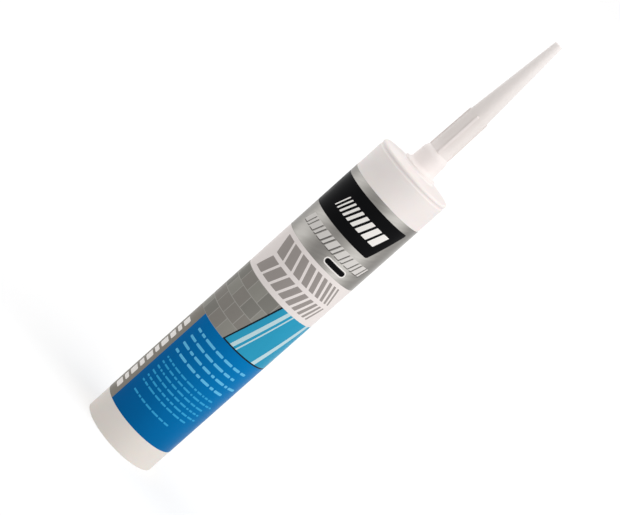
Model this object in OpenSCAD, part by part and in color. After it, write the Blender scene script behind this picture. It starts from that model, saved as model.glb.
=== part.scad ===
// Sealant cartridge with a screw-on nozzle, standing on its open rear rim.
// Millimetres, Z up along the tube's axis, origin at the centre of the rear rim.

/* [Barrel] */
// Outside diameter of the barrel
barrel_d = 49; // [42:0.5:58]
// Wall thickness of the barrel
barrel_wall = 1.5; // [1.1:0.1:2]
// Height from the rear rim to the crease under the shoulder
barrel_h = 219.3; // [170:0.1:260]
// Size of the lead-in bevel inside the rear rim
lead_in = 0.8; // [0.5:0.1:1.1]
// Depth of the soft groove that marks the crease
crease_depth = 0.3; // [0.2:0.05:0.4]
// Width of that groove
crease_w = 2; // [1.6:0.1:2.4]

/* [Head] */
// Height of the plain band between the crease and the shoulder
shoulder_h = 0.4; // [0.3:0.1:0.6]
// Radius of the rounded shoulder
shoulder_r = 1.3; // [1.1:0.1:1.6]
// Rise of the shallow cone from the shoulder to the nozzle's seat
head_rise = 2.1; // [1.7:0.1:2.5]
// Thickness of the head
head_wall = 1.8; // [1.4:0.1:2.2]
// Radius of the corner inside the head, and of the plunger's front edge
inner_corner_r = 1.2; // [1:0.1:1.4]
// Height of the flat boss that the nozzle seats on
boss_h = 0.9; // [0.7:0.1:1.1]

/* [Neck] */
// Diameter over the neck's thread
thread_d = 13.9; // [12:0.1:18]
// Height of the thread ridge above the neck
thread_depth = 1; // [0.8:0.05:1.2]
// Pitch of the thread
thread_pitch = 3; // [2.4:0.1:3.6]
// Length of the threaded neck above the seat
neck_h = 9.7; // [8:0.1:12]
// Length of the closed tip that is cut off before use
tip_h = 6.9; // [5.5:0.1:8.5]
// Step from the neck down to the tip
tip_step = 0.9; // [0.7:0.05:1.1]
// Narrowing of the tip over its length, in radius
tip_draft = 0.9; // [0.7:0.05:1.1]
// Wall thickness of the neck and the tip
neck_wall = 1.3; // [1:0.1:1.6]

/* [Nozzle] */
// Wall thickness of the nozzle
nozzle_wall = 1.15; // [0.9:0.05:1.4]
// Radius of the fillet between the base and the collar
fillet_r = 2.6; // [2.1:0.1:3.2]
// Thickness of the base's rim
base_rim = 1; // [0.8:0.1:1.2]
// Narrowing of the collar over its height, in radius
collar_draft = 0.25; // [0.2:0.05:0.3]
// Length of the rounded shoulder above the collar
collar_end_h = 4.2; // [3.4:0.1:5]
// Length of the ribbed part
ribbed_h = 28.8; // [24:0.1:36]
// Narrowing of the ribbed part over its length, in radius
ribbed_draft = 0.45; // [0.35:0.05:0.6]
// Length of the plain cone above the ribs
cone_h = 56.5; // [45:0.5:70]
// Outside diameter of the cone at its tip
outlet_d = 5; // [4.2:0.1:6]
// Rounding of the outer edge at the tip
outlet_edge = 0.5; // [0.4:0.05:0.6]
// Diameter of the outlet hole
outlet_bore_d = 2.6; // [2.1:0.1:3.2]
// Length of the straight outlet hole
outlet_land = 4; // [3:0.5:5]
// Number of grip ribs
rib_count = 4; // [3:1:8]
// Thickness of a rib
rib_t = 1.3; // [1:0.1:1.6]
// How far a rib stands out of the ribbed part
rib_out = 0.6; // [0.4:0.05:0.7]

/* [Plunger] */
// Distance from the rear rim to the plunger
plunger_inset = 13; // [11:0.5:15]
// Height of the plunger's skirt
plunger_h = 17; // [14:0.5:21]
// Wall thickness of the plunger
plunger_wall = 1.4; // [1.1:0.1:1.7]
// Gap between the skirt and the bore, which the two lips close
skirt_gap = 0.8; // [0.6:0.05:1]
// Height of each wiper lip
lip_h = 2.4; // [1.9:0.1:2.9]
// Number of stiffening webs inside the plunger
web_count = 8; // [6:1:12]
// Thickness of a web
web_t = 1.2; // [1:0.1:1.5]
// How far the webs lie inside the skirt's edge
web_inset = 3; // [2.4:0.1:3.6]
// Outside diameter of the plunger's hub
hub_d = 12; // [10:0.5:14.5]

/* [Label] */
// Height of the label's lower edge above the rear rim
label_z = 15.6; // [12:0.1:19]
// Bare band between the label's upper edge and the crease
bare_band = 19.1; // [15:0.1:23]
// Thickness of the label film
label_t = 0.1; // [0.08:0.01:0.12]
// Width of the glued overlap at the back
label_overlap = 8; // [6:0.5:10]

/* [Clearances] */
// Gap between the neck's thread and the nozzle's socket
thread_gap = 0.1; // [0.08:0.01:0.12]
// Gap above the threaded neck inside the socket
socket_gap = 0.3; // [0.2:0.05:0.4]
// Gap between the closed tip and the nozzle's bore
tip_gap = 0.35; // [0.3:0.05:0.45]
// Running gap between a wiper lip and the bore
lip_gap = 0.05; // [0.04:0.005:0.06]
// Gap between the sealant and what holds it
fill_gap = 0.05; // [0.04:0.005:0.06]
// Gap between the sealant and the plunger's face
face_gap = 0.3; // [0.25:0.05:0.35]

/* [Hidden] */
$fn = 96;

// Radii that the parts share
barrel_r = barrel_d / 2;
bore_r = barrel_r - barrel_wall;
thread_r = thread_d / 2;
neck_r = thread_r - thread_depth;
tip_r = neck_r - tip_step;
neck_bore_r = tip_r - neck_wall;
tip_bore_r = neck_bore_r - tip_draft;
socket_r = thread_r + thread_gap;
collar_top_r = socket_r + nozzle_wall;
collar_r = collar_top_r + collar_draft;
base_r = collar_r + fillet_r;
boss_r = base_r + boss_h;

// Heights up the head
shoulder_top = barrel_h + shoulder_h + shoulder_r;
seat_z = shoulder_top + head_rise;
head_slope = (head_rise - boss_h) / (barrel_r - shoulder_r - boss_r);
neck_top = seat_z + neck_h;
tip_top = neck_top + tip_h;
tip_bore_top = tip_top - neck_wall;

// Height at which the corner inside the head starts
inner_corner_z = shoulder_top - head_wall - inner_corner_r;

// Half outline of a tube with a rounded shoulder and the head's shallow cone on it
module shouldered(r, low, corner_z, corner_r, top_r) {
    rim_r = r - corner_r;
    top = corner_z + corner_r + head_slope * (rim_r - top_r);
    polygon([
        [0, low],
        [r, low],
        [r, corner_z],
        [rim_r, corner_z + corner_r],
        [top_r, top],
        [0, top]
    ]);
    intersection() {
        translate([rim_r, corner_z]) circle(corner_r);
        translate([rim_r, corner_z]) square(corner_r);
    }
}

// Half outline of what the cartridge holds, smaller all round by a gap
module chamber(low, gap) {
    neck = neck_bore_r - gap;
    tip = tip_bore_r - gap;
    shouldered(bore_r - gap, low, inner_corner_z - gap, inner_corner_r, neck);
    polygon([
        [0, low],
        [neck, low],
        [neck, neck_top - gap],
        [tip, tip_bore_top - gap],
        [0, tip_bore_top - gap]
    ]);
}

// Helical ridge of a thread with its ends faded out, rising from z = 0
module thread_ridge(root, depth, pitch, height) {
    steps = 36;
    foot = pitch * 0.6;
    crest = pitch * 0.25;
    sunk = 0.3;
    turns = (height - foot) / pitch;
    count = ceil(turns * steps);
    points = [
        for (i = [0 : count])
            let (
                turn = turns * i / count,
                fade = max(0.1, min(1, 4 * min(turn, turns - turn))),
                out = root + depth * fade,
                z = foot / 2 + pitch * turn,
                ray = [cos(360 * turn), sin(360 * turn)]
            )
            each [
                concat((root - sunk) * ray, [z - foot / 2]),
                concat(out * ray, [z - crest / 2]),
                concat(out * ray, [z + crest / 2]),
                concat((root - sunk) * ray, [z + foot / 2])
            ]
    ];
    sides = [
        for (i = [0 : count - 1], k = [0 : 3])
            let (a = 4 * i + k, b = 4 * i + (k + 1) % 4)
            each [[a, b, b + 4], [a, b + 4, a + 4]]
    ];
    last = 4 * count;
    ends = [[3, 2, 1, 0], [last, last + 1, last + 2, last + 3]];
    polyhedron(points = points, faces = concat(sides, ends));
}

// One-piece moulded barrel with its head and its closed, threaded neck
module cartridge() {
    groove_r = (crease_w * crease_w / 4 + crease_depth * crease_depth) / (2 * crease_depth);
    thread_h = neck_h - 2 * thread_gap;
    color("whitesmoke") {
        rotate_extrude() difference() {
            union() {
                shouldered(barrel_r, 0, barrel_h + shoulder_h, shoulder_r, boss_r);
                polygon([
                    [0, barrel_h],
                    [boss_r, barrel_h],
                    [boss_r, seat_z - boss_h],
                    [boss_r - boss_h, seat_z],
                    [neck_r, seat_z],
                    [neck_r, neck_top],
                    [tip_r, neck_top],
                    [tip_r - tip_draft, tip_top],
                    [0, tip_top]
                ]);
            }
            chamber(-1, 0);
            polygon([[0, -1], [bore_r + lead_in + 1, -1], [bore_r, lead_in]]);
            translate([barrel_r + groove_r - crease_depth, barrel_h - crease_w / 2])
                circle(groove_r, $fn = 48);
        }
        translate([0, 0, seat_z + thread_gap])
            thread_ridge(neck_r, thread_depth, thread_pitch, thread_h);
    }
}

// Printed film wrapped once round the barrel, glued over itself at the back
module label() {
    label_h = barrel_h - bare_band - label_z;
    half_angle = label_overlap / (PI * barrel_d) * 180;
    reach = 2 * barrel_r;
    color("steelblue")
        translate([0, 0, label_z])
            linear_extrude(label_h) difference() {
                union() {
                    circle(barrel_r + label_t);
                    intersection() {
                        circle(barrel_r + 2 * label_t);
                        polygon([
                            [0, 0],
                            [reach * sin(half_angle), reach * cos(half_angle)],
                            [-reach * sin(half_angle), reach * cos(half_angle)]
                        ]);
                    }
                }
                circle(barrel_r);
            }
}

// Half outline of the plunger's front, with its lip's edge at height z
module plunger_front(low, z) {
    shouldered(bore_r - lip_gap, low, z, inner_corner_r, 0);
}

// Paste that fills the barrel from the plunger's face to the closed tip
module sealant() {
    rear_z = plunger_inset + plunger_h + face_gap;
    color("ghostwhite")
        rotate_extrude() difference() {
            chamber(rear_z, fill_gap);
            plunger_front(rear_z - 1, rear_z);
        }
}

// Plunger that the applicator gun pushes, a cup with webs inside and two wiper lips
module plunger() {
    lip_r = bore_r - lip_gap;
    skirt_r = bore_r - skirt_gap;
    inner_r = skirt_r - plunger_wall;
    hub_r = hub_d / 2;
    half_wall = plunger_wall / 2;
    front_lip_z = plunger_h - lip_h;
    color("white") translate([0, 0, plunger_inset]) {
        rotate_extrude() difference() {
            union() {
                polygon([
                    [0, 0],
                    [skirt_r, 0],
                    [lip_r, lip_h / 3],
                    [lip_r, lip_h * 2 / 3],
                    [skirt_r, lip_h],
                    [skirt_r, front_lip_z],
                    [lip_r, front_lip_z + lip_h * 2 / 3],
                    [0, front_lip_z + lip_h * 2 / 3]
                ]);
                plunger_front(front_lip_z + lip_h * 2 / 3, plunger_h);
            }
            shouldered(inner_r, -1, plunger_h - plunger_wall, inner_corner_r, 0);
        }
        intersection() {
            rotate_extrude()
                shouldered(inner_r + half_wall, web_inset, plunger_h - half_wall, inner_corner_r, 0);
            difference() {
                union() {
                    cylinder(r = hub_r, h = 2 * plunger_h);
                    for (i = [0 : web_count - 1])
                        rotate([0, 0, 360 * i / web_count])
                            translate([0, -web_t / 2, 0])
                                cube([bore_r, web_t, 2 * plunger_h]);
                }
                cylinder(r = hub_r - plunger_wall, h = 4 * plunger_h, center = true);
            }
        }
    }
}

// Screw-on nozzle: flared base, collar over the neck, ribbed part and plain cone
module nozzle() {
    fillet_top = base_rim + fillet_r;
    socket_h = neck_h + socket_gap;
    ribbed_z = socket_h + collar_end_h;
    cone_z = ribbed_z + ribbed_h;
    outlet_z = cone_z + cone_h;
    tube_bore_r = tip_r + tip_gap;
    tube_r = tube_bore_r + nozzle_wall;
    cone_bore_r = tube_bore_r - ribbed_draft;
    cone_r = cone_bore_r + nozzle_wall;
    outlet_r = outlet_d / 2;
    outlet_bore_r = outlet_bore_d / 2;
    collar_step = collar_top_r - tube_r;
    collar_end_r = (collar_end_h * collar_end_h + collar_step * collar_step) / (2 * collar_step);
    color("gainsboro") translate([0, 0, seat_z]) difference() {
        union() {
            rotate_extrude() {
                difference() {
                    polygon([
                        [0, 0],
                        [base_r, 0],
                        [base_r, fillet_top],
                        [collar_r, fillet_top],
                        [collar_top_r, socket_h],
                        [0, socket_h]
                    ]);
                    translate([base_r, fillet_top]) circle(fillet_r);
                }
                intersection() {
                    translate([0, socket_h]) square([collar_top_r, collar_end_h]);
                    translate([collar_top_r - collar_end_r, socket_h]) circle(collar_end_r);
                }
                polygon([
                    [0, socket_h],
                    [tube_r, socket_h],
                    [tube_r, ribbed_z],
                    [cone_r, cone_z],
                    [outlet_r, outlet_z - outlet_edge],
                    [outlet_r - outlet_edge, outlet_z],
                    [0, outlet_z]
                ]);
                translate([outlet_r - outlet_edge, outlet_z - outlet_edge])
                    circle(outlet_edge, $fn = 32);
            }
            for (i = [0 : rib_count - 1])
                rotate([90, 0, 360 * i / rib_count])
                    linear_extrude(rib_t, center = true)
                        polygon([
                            [0, ribbed_z - rib_out],
                            [tube_r, ribbed_z - rib_out],
                            [tube_r + rib_out, ribbed_z],
                            [cone_r + rib_out, cone_z - rib_out],
                            [cone_r - rib_out, cone_z + rib_out],
                            [0, cone_z + rib_out]
                        ]);
        }
        rotate_extrude() polygon([
            [0, -1],
            [socket_r, -1],
            [socket_r, socket_h],
            [tube_bore_r, ribbed_z],
            [cone_bore_r, cone_z],
            [outlet_bore_r, outlet_z - outlet_land],
            [outlet_bore_r, outlet_z + 1],
            [0, outlet_z + 1]
        ]);
    }
}

cartridge();
label();
sealant();
plunger();
nozzle();
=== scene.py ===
import math
import random

import bpy
from mathutils import Matrix, Vector
from mathutils.geometry import delaunay_2d_cdt


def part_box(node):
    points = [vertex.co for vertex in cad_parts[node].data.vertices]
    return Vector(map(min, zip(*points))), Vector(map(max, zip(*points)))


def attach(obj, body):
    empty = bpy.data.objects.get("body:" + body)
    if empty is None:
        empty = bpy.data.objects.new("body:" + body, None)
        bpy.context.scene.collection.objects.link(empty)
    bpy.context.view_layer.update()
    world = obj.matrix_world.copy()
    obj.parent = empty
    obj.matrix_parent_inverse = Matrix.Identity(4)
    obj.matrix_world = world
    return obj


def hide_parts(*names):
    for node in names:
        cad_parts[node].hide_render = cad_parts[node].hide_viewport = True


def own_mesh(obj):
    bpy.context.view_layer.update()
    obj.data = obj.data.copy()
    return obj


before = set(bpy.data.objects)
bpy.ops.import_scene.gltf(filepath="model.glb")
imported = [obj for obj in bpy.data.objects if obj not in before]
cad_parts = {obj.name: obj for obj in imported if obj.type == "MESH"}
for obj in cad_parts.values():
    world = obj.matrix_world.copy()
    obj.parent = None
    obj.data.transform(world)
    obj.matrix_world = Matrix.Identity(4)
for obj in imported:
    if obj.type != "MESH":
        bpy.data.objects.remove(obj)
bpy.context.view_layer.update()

MM = 0.001

# Camera, fitted to the rings and outlines that the photograph shows
PHOTO_W = 620
FOCAL_PX = 2249.1
SENSOR_MM = 36
CAMERA_PLACE = Vector((0, -1.2026, 0.3604))
CAMERA_YAW = math.radians(-0.187)
CAMERA_PITCH = math.radians(-10.081)
CAMERA_ROLL = math.radians(48.246)

# Light: the room's strength, and each lamp's strength, degrees right of the front, degrees up and spread
ROOM_LIGHT = 0.68
LAMPS = {
    "key": (1.82, 58, 26, 80),
    "fill": (1.15, -110, 14, 80),
}
WHITE = (1, 1, 1, 1)

# Floor: half its side in metres, its grey for the object's light, and its grey and glow for the camera
FLOOR_HALF = 60
FLOOR_BOUNCE = 0.5
FLOOR_SEEN = 0.6
FLOOR_GLOW = 0.43

# Levels up the tube, in millimetres above the rear rim
LABEL_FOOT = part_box("label")[0].z / MM
LABEL_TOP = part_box("label")[1].z / MM
BLUE_TOP = 86.2
TILES_TOP = 121.6
PALE_TOP = 152
PLUNGER_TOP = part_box("plunger")[1].z / MM
RIBS_TOP = 266.1
NECK_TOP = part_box("cartridge")[1].z / MM
NOZZLE_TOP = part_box("nozzle")[1].z / MM

# Where the barrel's painted shade is deepest and the nozzle's painted light turns it whiter, in millimetres,
# and how wide its ribs are
SHADE_DEEPEST_BELOW = 12
WHITER_FROM = NECK_TOP + 5
WHITEST_BELOW = NECK_TOP - 7
RIB_T = 1.3

# The paste, in millimetres: half outline from the plunger's face to the closed tip of the neck
PASTE_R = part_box("sealant")[1].x / MM
PASTE_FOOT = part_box("sealant")[0].z / MM
PASTE_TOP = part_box("sealant")[1].z / MM
PASTE_SHOULDER = 217.95
PASTE_CORNER_R = 1.2
PASTE_NECK_R = 3.7
PASTE_NECK_TOP = 232.75
PASTE_TIP_R = 2.8
HEAD_SLOPE = 0.1067
PASTE_RIM_R = PASTE_R - PASTE_CORNER_R
PASTE_RIM_TOP = PASTE_SHOULDER + PASTE_CORNER_R
PASTE_REAR = PASTE_FOOT + PASTE_CORNER_R + HEAD_SLOPE * PASTE_RIM_R
PASTE_RINGS = 24
PASTE_SIDES = 64

# The label film, in millimetres. Its own thickness is a little less than its space, so its layers stay apart
FILM_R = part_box("label")[1].x / MM
FILM_SPACE = 0.1
FILM_T = 0.97 * FILM_SPACE
OVERLAP = 8
OVERLAP_SLOPE = 3
HALF_TURN = math.pi * FILM_R
FILM_START = -HALF_TURN - OVERLAP / 2
FILM_END = HALF_TURN + OVERLAP / 2
COLUMN_W = math.radians(3) * FILM_R
FLAT = "flat_place"

# The label's art, in millimetres, with SLANT as how far an edge leans to the right for each unit up
SLANT = 0.38
STRIPE_CORNER = 0.3
SHADOW_DROP = 0.45
SMALLEST_TILE = 0.5
SEAM_W = 1.5

# A round corner's largest share of a side, just under half, so that two corners never meet
CORNER_MOST = 1 / 2.01

# Rows of bars: the bars and gaps as shares of a row's height, and how ragged the rows end in millimetres
BAR_T = 0.7
BAR_SHORTEST = 0.8
BAR_LONGEST = 3.4
BAR_GAP = 0.5
BAR_ROOM = 2
RAGGED = 8

# A noise pattern lies mostly between these two values
NOISE_LOW = 0.3
NOISE_HIGH = 0.7

# How much roughness varies to each side of its mean on plastic and ink
GLOSS_VARIES = 0.05


def linear(red, green, blue):
    """An 8-bit sRGB colour as linear RGBA."""
    def one(c):
        c /= 255
        return c / 12.92 if c <= 0.04045 else ((c + 0.055) / 1.055) ** 2.4
    return one(red), one(green), one(blue), 1


def shade(colour, factor):
    """A colour made lighter or darker by a factor."""
    return tuple(min(1, c * factor) for c in colour[:3]) + (1,)


def placed(name, data):
    """A new object in the scene, made of a mesh, a camera or a lamp."""
    obj = bpy.data.objects.new(name, data)
    bpy.context.scene.collection.objects.link(obj)
    return obj


def quarter(start, radius, step):
    """Points along a quarter of a circle round the origin, from a start in degrees."""
    angles = [math.radians(start + turn) for turn in range(0, 90 + step, step)]
    return [(radius * math.cos(a), radius * math.sin(a)) for a in angles]


class Tree:
    """The node tree of a material or a world, and short ways to add to it."""

    def __init__(self, owner):
        owner.use_nodes = True
        self.nodes = owner.node_tree.nodes
        self.links = owner.node_tree.links

    def give(self, socket, value):
        """Links a socket to another node's output, or sets it to a constant."""
        if isinstance(value, bpy.types.NodeSocket):
            self.links.new(value, socket)
        else:
            socket.default_value = value

    def node(self, kind, inputs=None, **settings):
        """A new node with its settings, and its inputs by name or number."""
        node = self.nodes.new("ShaderNode" + kind)
        for name, value in settings.items():
            setattr(node, name, value)
        for name, value in (inputs or {}).items():
            self.give(node.inputs[name], value)
        return node

    def maths(self, operation, *values):
        """What an operation makes of outputs and constants."""
        return self.node("Math", dict(enumerate(values)), operation=operation).outputs["Value"]

    def in_sight(self):
        """1 where the camera sees a surface or the room, directly, in a reflection or through glass."""
        path = self.node("LightPath").outputs
        reflected_too = self.maths("MAXIMUM", path["Is Camera Ray"], path["Is Glossy Ray"])
        return self.maths("MAXIMUM", reflected_too, path["Is Transmission Ray"])

    def end(self, kind, lighting, seen):
        """Ends the tree with one shader for how it lights the object and another for what the camera sees."""
        choice = self.node("MixShader", {"Fac": self.in_sight(), 1: lighting, 2: seen})
        self.node(kind, {"Surface": choice.outputs[0]})


class Shader(Tree):
    """A material with one Principled shader. Its patterns lie in the object's own place in metres,
    or in the label's flat layout in millimetres."""

    def __init__(self, name, flat=False):
        self.material = bpy.data.materials.new(name)
        super().__init__(self.material)
        self.main = self.nodes["Principled BSDF"]
        if flat:
            self.place = self.node("Attribute", attribute_name=FLAT).outputs["Vector"]
        else:
            self.place = self.node("TexCoord").outputs["Object"]

    def set(self, **values):
        """Sets the shader's own sockets, with their names in lower case and underscores for spaces."""
        for name, value in values.items():
            self.main.inputs[name.replace("_", " ").title().replace("Ior", "IOR")].default_value = value
        return self

    def stretched(self, x, y, turn=0):
        """The place, turned about Z by an angle in degrees and then scaled along X and Y."""
        turned = self.node("Mapping", {"Vector": self.place, "Rotation": (0, 0, math.radians(turn))})
        inputs = {"Vector": turned.outputs["Vector"], "Scale": (x, y, 1)}
        return self.node("Mapping", inputs).outputs["Vector"]

    def noise(self, scale, detail, vector=None, distortion=0):
        """A noise pattern, at a scale per unit of the place."""
        inputs = {"Vector": vector or self.place, "Scale": scale, "Detail": detail, "Distortion": distortion}
        return self.node("TexNoise", inputs).outputs["Fac"]

    def ramp(self, factor, *stops):
        """A colour that runs through stops, each a position and a colour."""
        node = self.node("ValToRGB", {"Fac": factor})
        elements = node.color_ramp.elements
        while len(elements) < len(stops):
            elements.new(0.5)
        for element, (position, colour) in zip(elements, stops):
            element.position = position
            element.color = colour
        return node.outputs["Color"]

    def range(self, value, low, high, to_low=0, to_high=1):
        """A value between two limits, moved to lie between two others."""
        inputs = {"Value": value, "From Min": low, "From Max": high, "To Min": to_low, "To Max": to_high}
        return self.node("MapRange", inputs).outputs["Result"]

    def spread(self, pattern, low=0, high=1):
        """A noise pattern, spread to reach from low to high."""
        return self.range(pattern, NOISE_LOW, NOISE_HIGH, low, high)

    def part(self, vector, axis):
        """One coordinate of a vector."""
        return self.node("SeparateXYZ", {"Vector": vector}).outputs[axis]

    def along(self, axis, low, high):
        """0 to 1 between two places along an axis, in the unit of the place."""
        return self.range(self.part(self.place, axis), low, high)

    def wave(self, period, crest):
        """0 to 1 and back in even waves along X, with a crest at the place given."""
        per_unit = 2 * math.pi / period
        turn = self.maths("MULTIPLY_ADD", self.part(self.place, "X"), per_unit, -per_unit * crest)
        return self.range(self.maths("COSINE", turn), -1, 1)

    def ribs(self, half_width, top):
        """1 near the two upright planes through the axis and below the top, and 0 elsewhere."""
        size = self.node("VectorMath", {0: self.place}, operation="ABSOLUTE").outputs["Vector"]
        nearest = self.maths("MINIMUM", self.part(size, "X"), self.part(size, "Y"))
        soft = 0.1 * half_width
        beside = self.range(nearest, half_width + soft, half_width - soft)
        return self.maths("MULTIPLY", beside, self.along("Z", top, top - half_width))

    def mix(self, factor, one, other, blend="MIX"):
        """One colour blended with another, as far as a factor from 0 to 1 says."""
        node = self.node("Mix", data_type="RGBA", blend_type=blend)
        for name, value in (("Factor", factor), ("A", one), ("B", other)):
            self.give(next(s for s in node.inputs if s.name == name and s.enabled), value)
        return next(s for s in node.outputs if s.enabled)

    def colour(self, source):
        """Links the base colour."""
        self.give(self.main.inputs["Base Color"], source)

    def rough(self, pattern, low, high):
        """Lets the roughness vary with a noise pattern."""
        self.give(self.main.inputs["Roughness"], self.spread(pattern, low, high))

    def bump(self, pattern, distance_mm, strength):
        """Adds fine relief from a pattern."""
        inputs = {"Height": pattern, "Distance": distance_mm * MM, "Strength": strength}
        self.give(self.main.inputs["Normal"], self.node("Bump", inputs).outputs["Normal"])


def moulded(name, colour, roughness, grain=900, spread=0.03, patches=()):
    """Moulded plastic: a faint mottle, a fine grain and a gloss that varies a little.
    A patch is another colour and a function of the shader that says where it is, from 0 to 1."""
    s = Shader(name)
    mottle = s.noise(scale=35, detail=4)
    tint = s.ramp(mottle, (NOISE_LOW, shade(colour, 1 - spread)), (NOISE_HIGH, shade(colour, 1 + spread)))
    for other, where in patches:
        tint = s.mix(where(s), tint, other)
    s.colour(tint)
    s.rough(s.noise(scale=140, detail=2), roughness - GLOSS_VARIES, roughness + GLOSS_VARIES)
    s.bump(s.noise(grain, detail=2), distance_mm=0.01, strength=0.6)
    return s


def barrel_plastic():
    """Opaque white plastic, a little greyer below the plunger's top, where no paste backs it: painted shade.
    """
    white = linear(240, 232, 229)
    grey = linear(227, 220, 213)
    # The grey towards the foot is painted shade, deepest at the rear rim.
    s = moulded("barrel_plastic", white, roughness=0.5, patches=[
        (grey, lambda s: s.along("Z", PLUNGER_TOP * MM, SHADE_DEEPEST_BELOW * MM))])
    return s.set(subsurface_weight=0.12, subsurface_scale=0.002, specular_ior_level=0.25).material


def nozzle_plastic():
    """Unpigmented plastic, greyest where it is wide and hollow. It is painted whiter towards its tip, in its
    ribs and round the neck, which fills it: painted light, standing for the light that the translucent
    plastic scatters."""
    hollow = linear(232, 224, 220)
    tip_painted_light = linear(243, 236, 233)
    painted_light_white = linear(242, 233, 230)
    # The patches for the tip, the ribs and the neck are painted light, whiter than the plastic's own colour.
    s = moulded("nozzle_plastic", hollow, roughness=0.4, grain=1200, spread=0.015, patches=[
        (tip_painted_light, lambda s: s.along("Z", RIBS_TOP * MM, NOZZLE_TOP * MM)),
        (painted_light_white, lambda s: s.ribs(RIB_T / 2 * MM, RIBS_TOP * MM)),
        (painted_light_white, lambda s: s.along("Z", WHITER_FROM * MM, WHITEST_BELOW * MM))])
    return s.set(subsurface_weight=0.3, subsurface_scale=0.002, subsurface_radius=(1, 0.97, 0.95),
                 specular_ior_level=0.25).material


def plunger_plastic():
    """Plain white plastic, with a little more gloss than the barrel's."""
    return moulded("plunger_plastic", linear(234, 233, 230), roughness=0.45).material


def paste_finish():
    """Smooth wet paste with soft smears."""
    s = Shader("sealant_paste")
    smear = s.noise(scale=60, detail=3, distortion=1.2)
    s.colour(s.ramp(smear, (NOISE_LOW, linear(224, 224, 220)), (NOISE_HIGH, linear(238, 238, 234))))
    s.rough(smear, low=0.2, high=0.32)
    s.bump(smear, distance_mm=0.3, strength=0.4)
    return s.set(subsurface_weight=0.3, subsurface_scale=0.004).material


def revolved(name, outline, sides):
    """A closed smooth solid of revolution, from a half outline in millimetres with both ends on the axis."""
    turns = [2 * math.pi * k / sides for k in range(sides)]
    foot, *rings, top = outline
    verts = [(0, 0, foot[1] * MM)]
    for r, z in rings:
        verts += [(r * MM * math.cos(a), r * MM * math.sin(a), z * MM) for a in turns]
    verts.append((0, 0, top[1] * MM))
    last = len(verts) - 1
    starts = [1 + sides * i for i in range(len(rings))]
    faces = []
    for k in range(sides):
        n = (k + 1) % sides
        faces.append((0, starts[0] + n, starts[0] + k))
        faces.append((last, starts[-1] + k, starts[-1] + n))
        faces += [(a + k, a + n, b + n, b + k) for a, b in zip(starts, starts[1:])]
    mesh = bpy.data.meshes.new(name)
    mesh.from_pydata(verts, [], faces)
    mesh.polygons.foreach_set("use_smooth", [True] * len(faces))
    mesh.set_sharp_from_angle(angle=math.radians(35))
    return placed(name, mesh)


def paste_outline():
    """The paste's half outline: crowned rear face, side, shallow cone, neck and closed tip."""
    corner = quarter(0, PASTE_CORNER_R, step=15)
    side = PASTE_SHOULDER - PASTE_FOOT
    cone_top = PASTE_RIM_TOP + HEAD_SLOPE * (PASTE_RIM_R - PASTE_NECK_R)
    outline = [(0, PASTE_REAR)]
    outline += [(PASTE_RIM_R + r, PASTE_FOOT + z) for r, z in reversed(corner)]
    outline += [(PASTE_R, PASTE_FOOT + side * k / PASTE_RINGS) for k in range(1, PASTE_RINGS)]
    outline += [(PASTE_RIM_R + r, PASTE_SHOULDER + z) for r, z in corner]
    outline += [(PASTE_NECK_R, cone_top), (PASTE_NECK_R, PASTE_NECK_TOP)]
    outline += [(PASTE_TIP_R, PASTE_TOP), (0, PASTE_TOP)]
    return outline


def paste():
    """The paste as one smooth body that rides with the tube, in place of the CAD node."""
    piece = revolved("paste", paste_outline(), PASTE_SIDES)
    piece.data.materials.append(paste_finish())
    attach(piece, "tube")
    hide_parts("sealant")
    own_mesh(piece)


def ink(name, colour, spread=0.02, top=None, painted_light_gain=None):
    """Printing ink on film: a roller print's unevenness, a fine grain, and film that isn't quite flat.
    A top colour makes it fade up the blue field, and a painted light gain makes it lighter towards the right."""
    s = Shader("ink_" + name, flat=True)
    grain_share = 0.5
    cloud = s.spread(s.noise(scale=0.05, detail=3, vector=s.stretched(1, 0.35)))
    grain = s.range(s.noise(scale=2.2, detail=2), 0.2, 0.8, 0, grain_share)
    worn = s.range(s.maths("ADD", cloud, grain), 0, 1 + grain_share)
    tint = s.ramp(worn, (0, shade(colour, 1 - spread)), (1, shade(colour, 1 + spread)))
    if top:
        tint = s.mix(s.along("Y", LABEL_FOOT, BLUE_TOP), tint, top)
    if painted_light_gain:
        # Painted light: the colour is lightened across the front towards the right, where the key light
        # falls.
        gain_from, gain_to = -22, 24
        tint = s.mix(s.along("X", gain_from, gain_to), tint, painted_light_gain, "MULTIPLY")
    s.colour(tint)
    roughness = 0.34
    s.rough(s.noise(scale=0.12, detail=2), roughness - GLOSS_VARIES, roughness + GLOSS_VARIES)
    s.bump(s.noise(scale=0.3, detail=2), distance_mm=0.012, strength=0.5)
    return s.set(specular_ior_level=0.04)


def silver_ink():
    """Metal-effect film: painted reflections as even waves of light and dark round the tube, crossed by fine
    slanting brush marks that the film has itself.
    """
    s = Shader("ink_silver", flat=True)
    reflection_waves = 5
    reflection_share, cloud_share, brush_share = 0.7, 0.14, 0.16
    dark = linear(130, 127, 123)
    middle = linear(160, 157, 152)
    bright = linear(192, 189, 184)
    # Painted reflection: waves of painted highlight and shade round the tube, with a highlight crest just
    # right of the front.
    painted_reflection = s.wave(2 * HALF_TURN / reflection_waves, crest=12)
    cloud = s.noise(scale=0.06, detail=2, vector=s.stretched(1, 0.6))
    brush = s.noise(scale=0.5, detail=3, vector=s.stretched(0.1, 1, turn=-24), distortion=0.2)
    uneven = s.maths("ADD", s.spread(cloud, high=cloud_share), s.spread(brush, high=brush_share))
    reflection_and_unevenness = s.maths("ADD", s.range(painted_reflection, 0, 1, 0, reflection_share), uneven)
    # dark, middle and bright run from painted shade to painted highlight, with the film's own brush marks and
    # cloud.
    s.colour(s.ramp(reflection_and_unevenness, (0.1, dark), (0.5, middle), (0.9, bright)))
    s.rough(brush, low=0.3, high=0.45)
    s.bump(brush, distance_mm=0.01, strength=0.5)
    return s.set(metallic=0.5, specular_ior_level=0.3)


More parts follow.
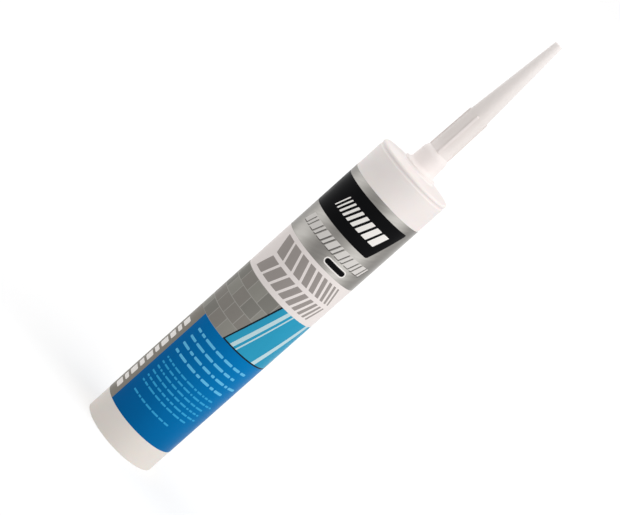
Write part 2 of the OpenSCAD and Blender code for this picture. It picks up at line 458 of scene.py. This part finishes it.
class Print:
    """The label's art, laid out flat in millimetres and painted in order.
    u runs round the barrel from its front centre line, and z up it."""

    def __init__(self):
        self.shapes = []

    def box(self, ink_name, u0, z0, u1, z1, corner=0, lean=0):
        """A box with round corners, whose top stands lean to the right of its foot."""
        corner = min(corner, (u1 - u0) * CORNER_MOST, (z1 - z0) * CORNER_MOST)
        if corner <= 0:
            outline = [(u0, z0), (u1, z0), (u1, z1), (u0, z1)]
        else:
            outline = []
            for u, z, start in ((u1, z0, -90), (u1, z1, 0), (u0, z1, 90), (u0, z0, 180)):
                centre_u = u - corner if u == u1 else u + corner
                centre_z = z - corner if z == z1 else z + corner
                outline += [(centre_u + du, centre_z + dz) for du, dz in quarter(start, corner, step=30)]
        leaning = [Vector((u + lean * (z - z0) / (z1 - z0), z)) for u, z in outline]
        self.shapes.append((ink_name, leaning))


def rows_from(top, pitch, count):
    """The tops of evenly spaced rows, from the highest down."""
    return [top - pitch * k for k in range(count)]


def bar_rows(art, ink_name, u0, u1, tops, height, seed):
    """Rows of short bars with round corners and uneven widths, which end raggedly at the right."""
    draw = random.Random(seed)
    thick = BAR_T * height
    for top in tops:
        foot = top - height
        end = u1 - draw.uniform(0, RAGGED)
        u = u0
        while u < end - BAR_ROOM * height:
            wide = min(height * draw.uniform(BAR_SHORTEST, BAR_LONGEST), end - u)
            art.box(ink_name, u, foot, u + wide, foot + thick, corner=thick / 3)
            u += wide + height * BAR_GAP


def graded(first, last, count):
    """Widths that grow or shrink evenly from the first to the last."""
    return [first * (last / first) ** (k / (count - 1)) for k in range(count)]


def stripes(art, ink_name, u, z0, z1, widths, gap, slant=SLANT, under=None):
    """A row of leaning stripes that starts at u, with an offset shadow where under names its ink."""
    row = []
    for wide in widths:
        row.append((u, u + wide))
        u += wide + gap
    lean = slant * (z1 - z0)
    for name, shift in ((under, SHADOW_DROP), (ink_name, 0)):
        for left, right in row if name else []:
            art.box(name, left + shift, z0 - shift, right + shift, z1 - shift, STRIPE_CORNER, lean)


def tiles(art, u0, u1, z0, z1, width, height, joint):
    """Wall tiles in a running bond, in three close greys that a simple sum mixes up."""
    rows = round((z1 - z0) / height)
    for row in range(rows):
        z = z0 + row * (z1 - z0) / rows
        u = u0 - (width / 2 if row % 2 else 0)
        column = 0
        while u < u1:
            left = max(u0, u) + joint / 2
            right = min(u1, u + width) - joint / 2
            if right - left > SMALLEST_TILE:
                name = "tile_" + "abc"[(row * 2 + column * 5 + row * column) % 3]
                art.box(name, left, z + joint / 2, right, z + (z1 - z0) / rows - joint / 2)
            u += width
            column += 1


def silver_field(art):
    """A dark leaning panel with pale stripes that grow wider, a row of shadowed stripes, a dark pill,
    and rows of bars behind."""
    panel_foot, panel_top = 172, 195.5
    pill_left, pill_foot, pill_right, pill_top = 1.5, 154.6, 17.5, 159.2
    rim = 0.7
    art.box("black", -52, panel_foot, 18, panel_top, corner=1.2, lean=SLANT * (panel_top - panel_foot))
    stripes(art, "white", u=-18, z0=179.2, z1=188.4, widths=graded(0.9, 4.6, count=9), gap=1.5)
    stripes(art, "light", u=-26, z0=161.2, z1=167.8, widths=(3.6, 1.6) * 7, gap=1.1, under="shadow")
    art.box("white", pill_left, pill_foot, pill_right, pill_top, corner=2.2)
    art.box("black", pill_left + rim, pill_foot + rim, pill_right - rim, pill_top - rim, corner=1.6)
    bar_rows(art, "shadow", 42, 72, rows_from(192, pitch=3.4, count=10), height=1.5, seed=21)


def pale_field(art):
    """Two rows of grey stripes that meet as arrows and thin out to the right, and rows of bars behind."""
    foot, middle, top = 124.8, 136.8, 149.4
    left = -20
    between_rows = 1.3
    widths = graded(7.4, 1.5, count=9)
    lower_top = middle - between_rows
    stripes(art, "grey", left, middle + between_rows, top, widths, gap=1.6, slant=-SLANT)
    stripes(art, "grey", left - SLANT * (lower_top - foot), foot, lower_top, widths, gap=1.6)
    for u0, u1, seed in ((38, 72, 33), (-72, -40, 34)):
        bar_rows(art, "grey", u0, u1, rows_from(147, pitch=3.2, count=7), height=1.4, seed=seed)


def tile_field(art):
    """Wall tiles with a leaning blue pane in front, and another at the back."""
    tiles(art, FILM_START, FILM_END, BLUE_TOP, TILES_TOP, width=9, height=8.2, joint=0.45)
    lean = 9
    side, sill = 1.1, 0.9
    for left, right in ((-3, 36), (-66, -48)):
        art.box("dark", left, BLUE_TOP, right, TILES_TOP, lean=lean)
        art.box("cyan", left + side, BLUE_TOP + sill, right - side, TILES_TOP, lean=lean)
        for offset, width in ((5, 2.4), (9, 0.9), (22, 3.2)):
            u0 = left + offset
            if u0 + width < right - 2 * side:
                art.box("glint", u0, BLUE_TOP + sill, u0 + width, TILES_TOP, lean=lean)


def blue_field(art):
    """Blue all round but for a bare strip with a column of blocks, and rows of bars in three places."""
    strip_left, strip_right = -46, -21.6
    block_left, block_right = -32, -25.6
    front = (-16.6, 30)
    art.box("blue", strip_right, LABEL_FOOT, FILM_END, BLUE_TOP)
    art.box("blue", FILM_START, LABEL_FOOT, strip_left, BLUE_TOP)
    foot = 21
    gap = 1.7
    for tall in (4.6, 2.8, 5, 3.4, 4.8, 3, 5.2, 4, 2.8, 4.6):
        art.box("white", block_left, foot, block_right, foot + tall, corner=0.7)
        foot += tall + gap
    bar_rows(art, "sky", *front, rows_from(80.2, pitch=5.6, count=4), height=2.3, seed=41)
    bar_rows(art, "sky_dim", *front, rows_from(56.6, pitch=3.7, count=6), height=1.6, seed=42)
    bar_rows(art, "sky_dim", -15.5, 15, [31], height=1.6, seed=43)
    for u0, u1, seed in ((41, 70, 44), (-74, -50, 45)):
        bar_rows(art, "sky_dim", u0, u1, rows_from(80, pitch=3.7, count=14), height=1.6, seed=seed)


def label_art():
    """Every shape on the label, in the order in which it is painted."""
    art = Print()
    art.box("strip", FILM_START, LABEL_FOOT, FILM_END, BLUE_TOP)
    art.box("joint", FILM_START, BLUE_TOP, FILM_END, TILES_TOP)
    art.box("pale", FILM_START, TILES_TOP, FILM_END, PALE_TOP)
    art.box("silver", FILM_START, PALE_TOP, FILM_END, LABEL_TOP)
    silver_field(art)
    pale_field(art)
    tile_field(art)
    blue_field(art)
    art.box("pale", FILM_END - SEAM_W, LABEL_FOOT, FILM_END, LABEL_TOP)
    return art.shapes


def cut_flat(shapes):
    """The flat film, cut along every shape's outline and into narrow columns: its points, and its faces
    as corner numbers with the number of the shape that is painted last there."""
    points, edges, outlines = [], [], []
    for _, outline in shapes:
        first = len(points)
        points += outline
        outlines.append(list(range(first, len(points))))
    columns = math.ceil((FILM_END - FILM_START) / COLUMN_W)
    for k in range(1, columns):
        u = FILM_START + (FILM_END - FILM_START) * k / columns
        edges.append((len(points), len(points) + 1))
        points += [Vector((u, LABEL_FOOT)), Vector((u, LABEL_TOP))]
    faces_for_a_mesh = 3
    tolerance = 1e-4
    flat, _, cells, _, _, covers = delaunay_2d_cdt(points, edges, outlines, faces_for_a_mesh, tolerance, True)
    return flat, [(list(cell), max(cover)) for cell, cover in zip(cells, covers) if cover]


def film_radius(u, inner):
    """The film's outer or inner radius at a place round the barrel, with a slope up onto the overlap."""
    slope_start = HALF_TURN - OVERLAP / 2 - OVERLAP_SLOPE
    rise = min(1, max(0, (u - slope_start) / OVERLAP_SLOPE))
    return FILM_R + FILM_SPACE * rise - (FILM_T if inner else 0)


def around(u):
    """The direction from the axis to a place round the barrel."""
    return Vector((math.sin(u / FILM_R), -math.cos(u / FILM_R), 0))


def film_mesh(name, shapes, inks):
    """The film as one closed sheet round the barrel, its art cut into its faces."""
    flat, cells = cut_flat(shapes)
    verts = []
    for inner in (False, True):
        verts += [around(p.x) * film_radius(p.x, inner) * MM + Vector((0, 0, p.y * MM)) for p in flat]
    shift = len(flat)
    faces, slots, normals = [], [], []

    def add(face, slot, directions):
        faces.append(face)
        slots.append(slot)
        normals.extend(directions)

    edges = {}
    for cell, shape in cells:
        slot = inks.index(shapes[shape][0])
        add(cell, slot, [around(flat[v].x) for v in cell])
        for edge in zip(cell, cell[1:] + cell[:1]):
            edges[edge] = slot
    for cell, slot in list(zip(faces, slots)):
        back = cell[::-1]
        add([v + shift for v in back], slot, [-around(flat[v].x) for v in back])
    for (a, b), slot in edges.items():
        if (b, a) not in edges:
            face = [b, a, a + shift, b + shift]
            outward = (verts[a] - verts[b]).cross(verts[b + shift] - verts[b]).normalized()
            add(face, slot, [outward] * len(face))
    mesh = bpy.data.meshes.new(name)
    mesh.from_pydata(verts, [], faces)
    mesh.polygons.foreach_set("material_index", slots)
    mesh.polygons.foreach_set("use_smooth", [True] * len(faces))
    mesh.update()
    mesh.normals_split_custom_set(normals)
    place = mesh.attributes.new(FLAT, "FLOAT_VECTOR", "POINT")
    for point, p in zip(place.data, flat + flat):
        point.vector = (p.x, p.y, 0)
    return mesh


def printed_label():
    """The label, with one ink for each colour of its art."""
    inks = {
        "strip": ink("strip", linear(136, 131, 123), spread=0.06),
        "joint": ink("joint", linear(160, 158, 152)),
        "tile_a": ink("tile_a", linear(130, 128, 122), spread=0.07),
        "tile_b": ink("tile_b", linear(145, 143, 136), spread=0.07),
        "tile_c": ink("tile_c", linear(137, 133, 127), spread=0.07),
        "pale": ink("pale", linear(234, 226, 223)),
        "silver": silver_ink(),
        "black": ink("black", linear(10, 10, 12)),
        "white": ink("white", linear(242, 238, 234)),
        "light": ink("light", linear(216, 212, 208)),
        "shadow": ink("shadow", linear(84, 80, 77)),
        "grey": ink("grey", linear(157, 150, 146), spread=0.06),
        "dark": ink("dark", linear(24, 34, 42)),
        "cyan": ink("cyan", linear(46, 154, 190), spread=0.1),
        "glint": ink("glint", linear(190, 216, 222)),
        # The blue's gain towards the right is painted light.
        "blue": ink("blue", linear(0, 87, 147), spread=0.05,
                    top=linear(0, 101, 166), painted_light_gain=(1, 1.45, 1.26, 1)),
        "sky": ink("sky", linear(96, 184, 226)),
        "sky_dim": ink("sky_dim", linear(54, 160, 210)),
    }
    label = placed("printed_label", film_mesh("printed_label", label_art(), list(inks)))
    for one in inks.values():
        label.data.materials.append(one.material)
    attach(label, "tube")
    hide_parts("label")


def camera():
    """The photograph's camera, which is rolled, so that the upright tube lies at a slant."""
    data = bpy.data.cameras.new("camera")
    data.sensor_fit = "HORIZONTAL"
    data.sensor_width = SENSOR_MM
    data.lens = FOCAL_PX / PHOTO_W * SENSOR_MM
    ahead = Vector((math.sin(CAMERA_YAW) * math.cos(CAMERA_PITCH),
                    math.cos(CAMERA_YAW) * math.cos(CAMERA_PITCH), math.sin(CAMERA_PITCH)))
    level = ahead.cross(Vector((0, 0, 1))).normalized()
    up = level.cross(ahead)
    right = level * math.cos(CAMERA_ROLL) + up * math.sin(CAMERA_ROLL)
    top = up * math.cos(CAMERA_ROLL) - level * math.sin(CAMERA_ROLL)
    turn = Matrix((right, top, -ahead)).transposed().to_4x4()
    cam = placed("camera", data)
    cam.matrix_world = Matrix.Translation(CAMERA_PLACE) @ turn
    bpy.context.scene.camera = cam


def floor():
    """A wide pale floor that the camera sees as white, apart from the object's shadow."""
    corners = [(x * FLOOR_HALF, y * FLOOR_HALF, 0) for x, y in ((-1, -1), (1, -1), (1, 1), (-1, 1))]
    mesh = bpy.data.meshes.new("floor")
    mesh.from_pydata(corners, [], [(0, 1, 2, 3)])
    material = bpy.data.materials.new("floor")
    mesh.materials.append(material)
    tree = Tree(material)
    tree.nodes.clear()
    bounce, shadowed = (tree.node("BsdfDiffuse", {"Color": (grey, grey, grey, 1)}).outputs[0]
                        for grey in (FLOOR_BOUNCE, FLOOR_SEEN))
    glow = tree.node("Emission", {"Strength": FLOOR_GLOW}).outputs[0]
    seen = tree.node("AddShader", {0: shadowed, 1: glow}).outputs[0]
    tree.end("OutputMaterial", bounce, seen)
    obj = placed("floor", mesh)


def room():
    """An even room that lights the object from all round, and that the camera sees as pure white."""
    world = bpy.data.worlds.new("room")
    tree = Tree(world)
    tree.nodes.clear()
    lighting, seen = (tree.node("Background", {"Color": WHITE, "Strength": strength}).outputs[0]
                      for strength in (ROOM_LIGHT, 1))
    tree.end("OutputWorld", lighting, seen)
    bpy.context.scene.world = world


def lamps():
    """A broad soft key from the right and a weaker one from the far left."""
    for name, (strength, azimuth, elevation, spread) in LAMPS.items():
        data = bpy.data.lights.new(name, "SUN")
        data.energy = strength
        data.angle = math.radians(spread)
        a, e = math.radians(azimuth), math.radians(elevation)
        towards = Vector((math.sin(a) * math.cos(e), -math.cos(a) * math.cos(e), math.sin(e)))
        placed(name, data).rotation_euler = towards.to_track_quat("Z", "Y").to_euler()


def finish_node(node, material):
    """Gives a CAD node its material."""
    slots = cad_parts[node].data.materials
    slots.clear()
    slots.append(material)


bpy.context.scene.view_settings.view_transform = "Standard"
finish_node("cartridge", barrel_plastic())
finish_node("nozzle", nozzle_plastic())
finish_node("plunger", plunger_plastic())
paste()
printed_label()
camera()
floor()
room()
lamps()
